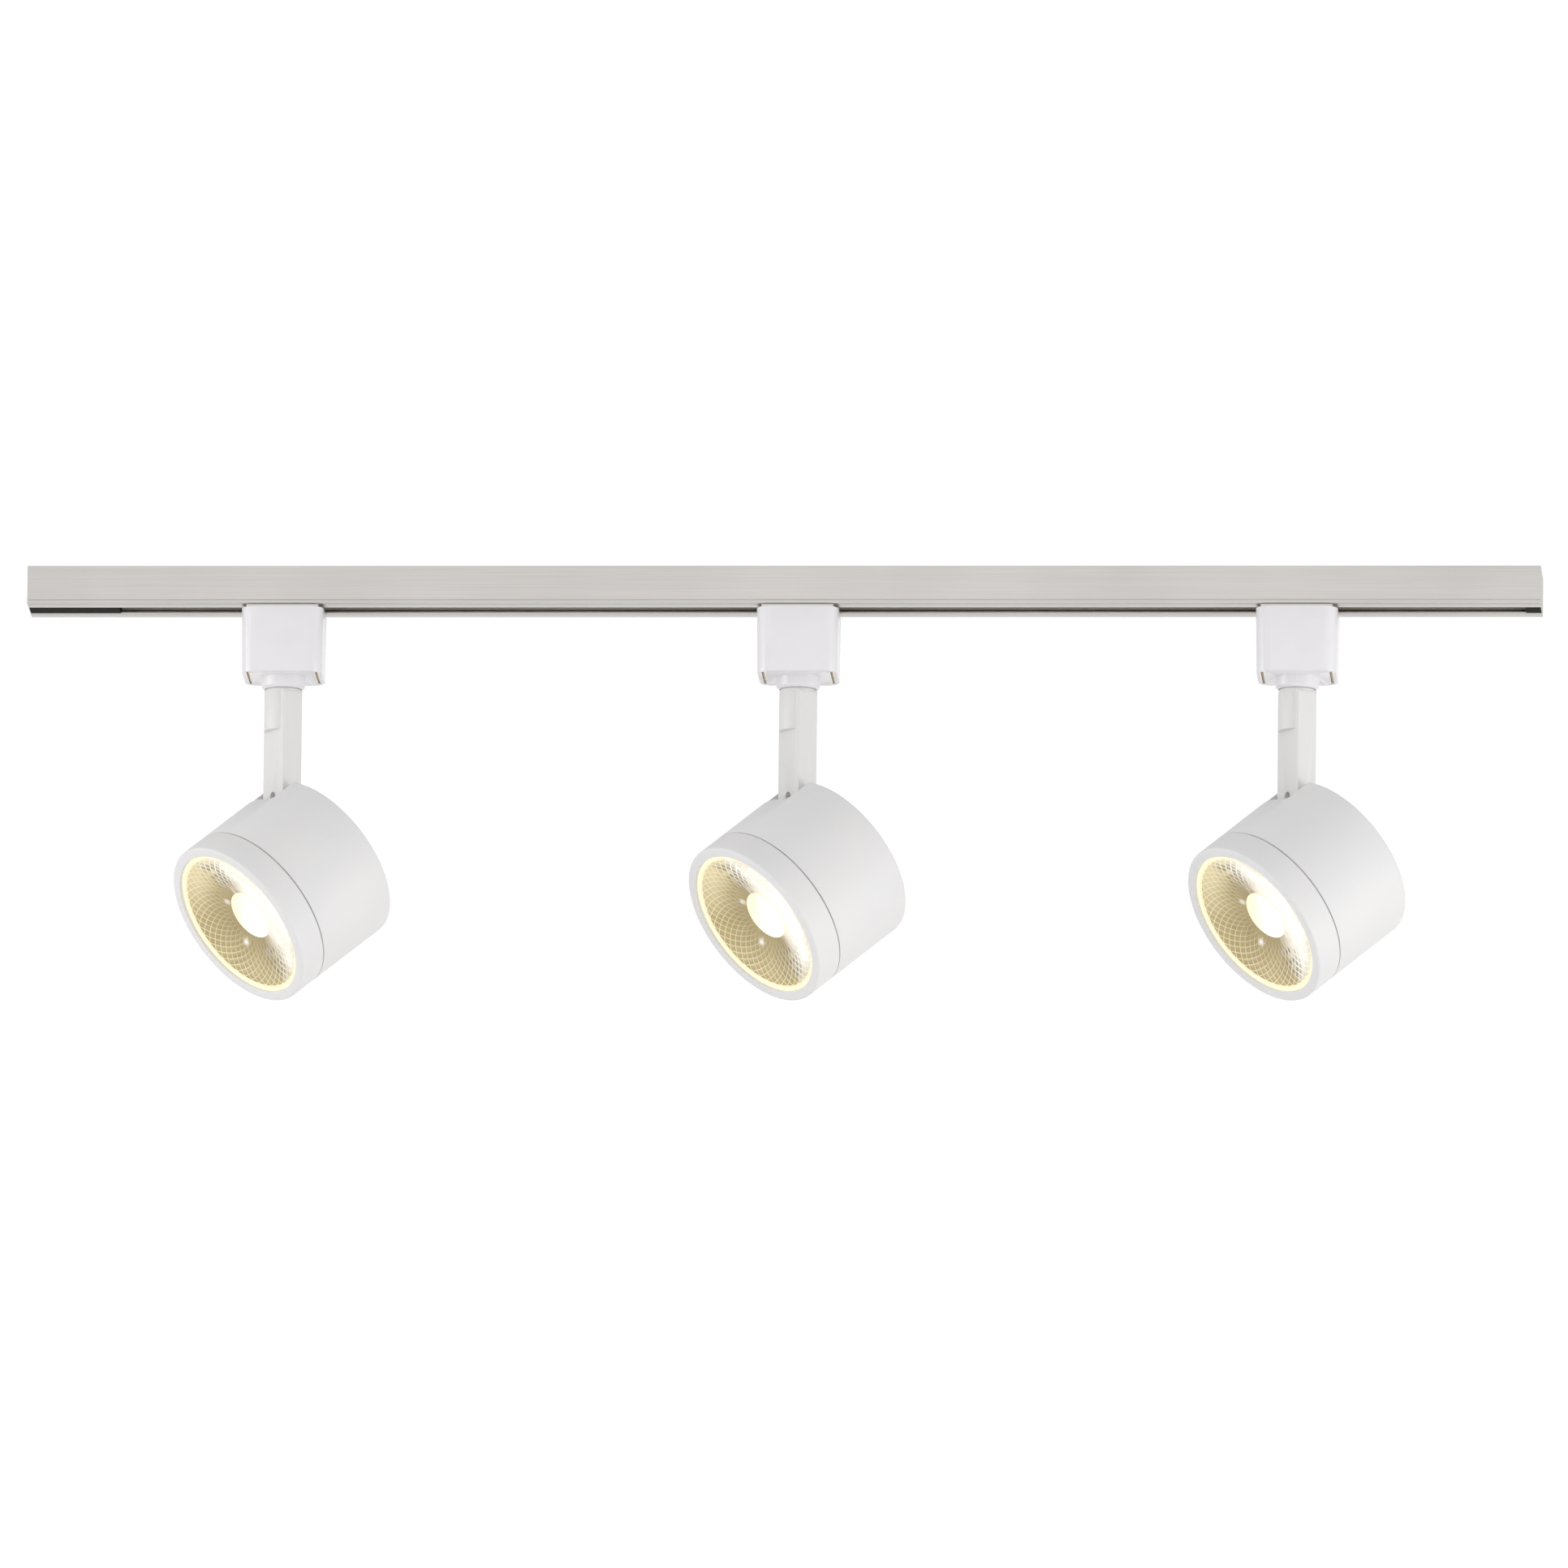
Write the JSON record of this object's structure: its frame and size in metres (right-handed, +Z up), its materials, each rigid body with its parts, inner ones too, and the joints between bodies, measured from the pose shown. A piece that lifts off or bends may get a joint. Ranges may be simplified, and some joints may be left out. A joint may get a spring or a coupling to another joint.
{
  "type": "track lighting fixture",
  "caption": "Straight ceiling track in satin nickel with white swivelling, tilting spotlights that slide along it, each with a lit faceted lens.",
  "frame": {"origin": "centre of the track's flat top face, which lies on the ceiling", "axes": "+X along the track, with the feed end at -X; +Z up into the ceiling; +Y across the track"},
  "size_m": [0.75, 0.1067, 0.2148],
  "materials": {
    "satin_nickel": "satin brushed nickel plate",
    "insulator": "moulded insulator",
    "copper": "bright copper alloy",
    "black_plastic": "moulded matte black",
    "brass": "stamped brass",
    "gloss_white": "glossy white moulding",
    "white_paint": "matte white powder coat",
    "steel": "zinc plated",
    "nylon": "natural nylon",
    "lead_sleeve": "white lead sleeve",
    "lens": "clear moulded optic, lit warm white",
    "bare_aluminium": "bare extruded",
    "led": "phosphor emitter on a white board"
  },
  "bodies": {
    "track": {"track_rail": "satin_nickel", "insulator_strips": "insulator", "conductor_bars": "copper", "dead_end_plug": "black_plastic", "feed_end_plug": "black_plastic", "terminal_screws": "brass"},
    "left_adapter": {"left_adapter_shell": "gloss_white", "left_adapter_core": "gloss_white", "left_contact_blades": "copper"},
    "left_latch": {"left_latch_yoke": "brass"},
    "left_stem": {"left_stem": "white_paint", "left_swivel_tube": "steel", "left_swivel_nut": "steel", "left_stem_leads": "lead_sleeve"},
    "left_head": {"left_rear_housing": "white_paint", "left_hinge_bracket": "steel", "left_pivot_bolt": "steel", "left_pivot_washers": "nylon", "left_trim_ring": "white_paint", "left_lens": "lens", "left_lens_retainer": "nylon", "left_heat_sink": "bare_aluminium", "left_led_board": "led", "left_driver": "black_plastic"},
    "middle_adapter": {"middle_adapter_shell": "gloss_white", "middle_adapter_core": "gloss_white", "middle_contact_blades": "copper"},
    "middle_latch": {"middle_latch_yoke": "brass"},
    "middle_stem": {"middle_stem": "white_paint", "middle_swivel_tube": "steel", "middle_swivel_nut": "steel", "middle_stem_leads": "lead_sleeve"},
    "middle_head": {"middle_rear_housing": "white_paint", "middle_hinge_bracket": "steel", "middle_pivot_bolt": "steel", "middle_pivot_washers": "nylon", "middle_trim_ring": "white_paint", "middle_lens": "lens", "middle_lens_retainer": "nylon", "middle_heat_sink": "bare_aluminium", "middle_led_board": "led", "middle_driver": "black_plastic"},
    "right_adapter": {"right_adapter_shell": "gloss_white", "right_adapter_core": "gloss_white", "right_contact_blades": "copper"},
    "right_latch": {"right_latch_yoke": "brass"},
    "right_stem": {"right_stem": "white_paint", "right_swivel_tube": "steel", "right_swivel_nut": "steel", "right_stem_leads": "lead_sleeve"},
    "right_head": {"right_rear_housing": "white_paint", "right_hinge_bracket": "steel", "right_pivot_bolt": "steel", "right_pivot_washers": "nylon", "right_trim_ring": "white_paint", "right_lens": "lens", "right_lens_retainer": "nylon", "right_heat_sink": "bare_aluminium", "right_led_board": "led", "right_driver": "black_plastic"}
  },
  "joints": [
    {"name": "left_track_slide", "type": "slide", "parent": "track", "child": "left_adapter", "axis": [1, 0, 0], "range_m": [-0.06, 0.055]},
    {"name": "left_latch_pull", "type": "slide", "parent": "left_adapter", "child": "left_latch", "axis": [0, 0, -1], "range_m": [0, 0.003], "stiffness_N_per_m": 300, "springref_m": -0.004},
    {"name": "left_swivel", "type": "hinge", "parent": "left_adapter", "child": "left_stem", "pos_m": [-0.2484, 0, -0.07], "axis": [0, 0, 1], "range_deg": [-175, 175]},
    {"name": "left_tilt", "type": "hinge", "parent": "left_stem", "child": "left_head", "pos_m": [-0.2484, 0, -0.1268], "axis": [0.5446, -0.8387, 0], "range_deg": [-38.4, 51.6]},
    {"name": "middle_track_slide", "type": "slide", "parent": "track", "child": "middle_adapter", "axis": [1, 0, 0], "range_m": [-0.055, 0.05]},
    {"name": "middle_latch_pull", "type": "slide", "parent": "middle_adapter", "child": "middle_latch", "axis": [0, 0, -1], "range_m": [0, 0.003], "stiffness_N_per_m": 300, "springref_m": -0.004},
    {"name": "middle_swivel", "type": "hinge", "parent": "middle_adapter", "child": "middle_stem", "pos_m": [0.007, 0, -0.07], "axis": [0, 0, 1], "range_deg": [-175, 175]},
    {"name": "middle_tilt", "type": "hinge", "parent": "middle_stem", "child": "middle_head", "pos_m": [0.007, 0, -0.1268], "axis": [0.5446, -0.8387, 0], "range_deg": [-38.4, 51.6]},
    {"name": "right_track_slide", "type": "slide", "parent": "track", "child": "right_adapter", "axis": [1, 0, 0], "range_m": [-0.05, 0.09]},
    {"name": "right_latch_pull", "type": "slide", "parent": "right_adapter", "child": "right_latch", "axis": [0, 0, -1], "range_m": [0, 0.003], "stiffness_N_per_m": 300, "springref_m": -0.004},
    {"name": "right_swivel", "type": "hinge", "parent": "right_adapter", "child": "right_stem", "pos_m": [0.2542, 0, -0.07], "axis": [0, 0, 1], "range_deg": [-175, 175]},
    {"name": "right_tilt", "type": "hinge", "parent": "right_stem", "child": "right_head", "pos_m": [0.2542, 0, -0.1268], "axis": [0.5446, -0.8387, 0], "range_deg": [-38.4, 51.6]}
  ]
}
